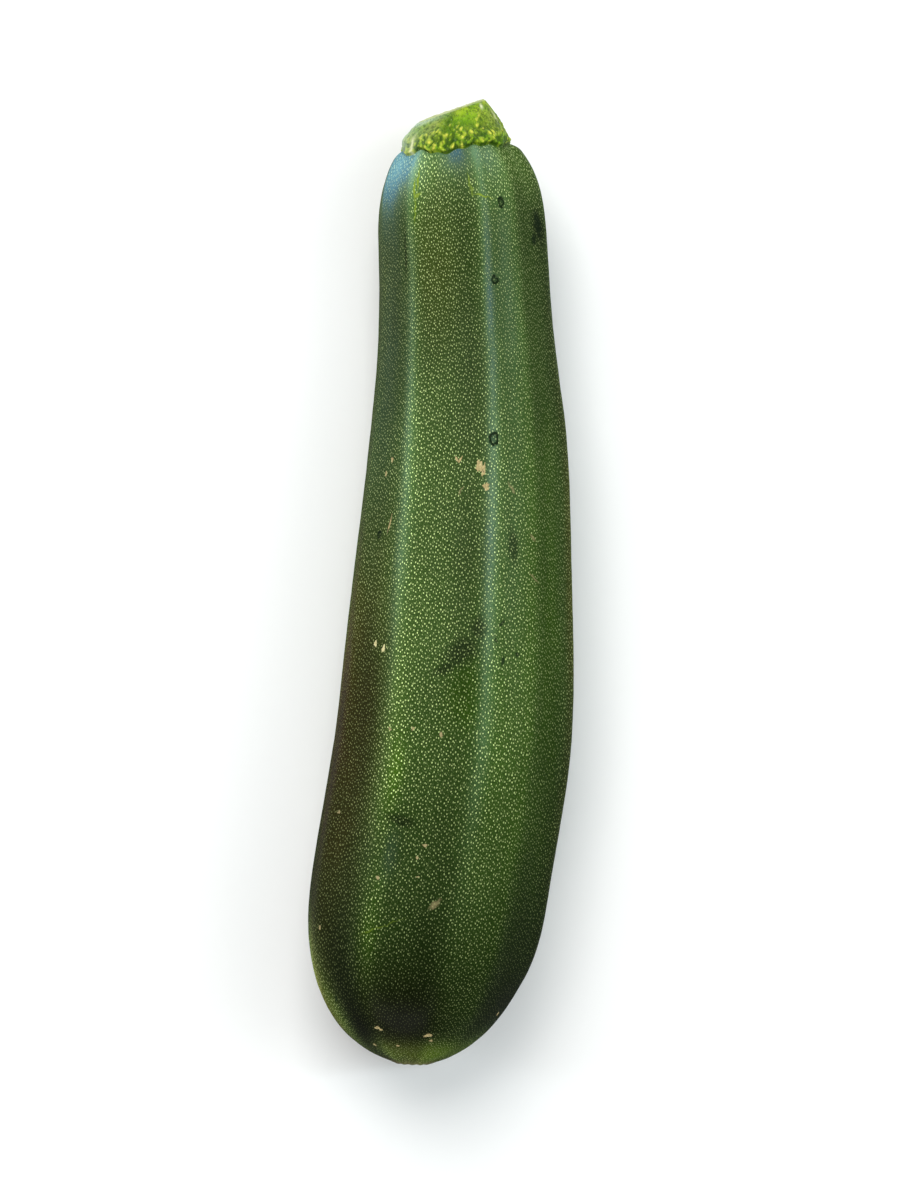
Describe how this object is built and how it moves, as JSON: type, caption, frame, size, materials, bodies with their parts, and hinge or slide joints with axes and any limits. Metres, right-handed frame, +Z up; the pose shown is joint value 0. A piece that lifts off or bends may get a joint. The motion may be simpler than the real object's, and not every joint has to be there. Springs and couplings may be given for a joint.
{
  "type": "zucchini",
  "caption": "Elongated, ribbed dark green zucchini lying on its side, thicker toward its rounded blossom end, with a short, angular, slant-cut stem stub.",
  "frame": {"origin": "middle of the part's bounding box, on the surface that it rests on", "axes": "+Y along the fruit toward its stem, +Z up, +X to the right when seen from above with the stem away from the viewer"},
  "size_m": [0.0714, 0.2606, 0.0632],
  "materials": {
    "fruit_skin": "waxy semi-gloss vegetable skin, dark green with fine pale lengthwise flecks",
    "stem_skin": "matte fibrous stalk, yellow-green with darker streaks and small warts at its foot"
  },
  "bodies": {
    "root": {"fruit": "fruit_skin", "stem": "stem_skin"}
  },
  "joints": []
}
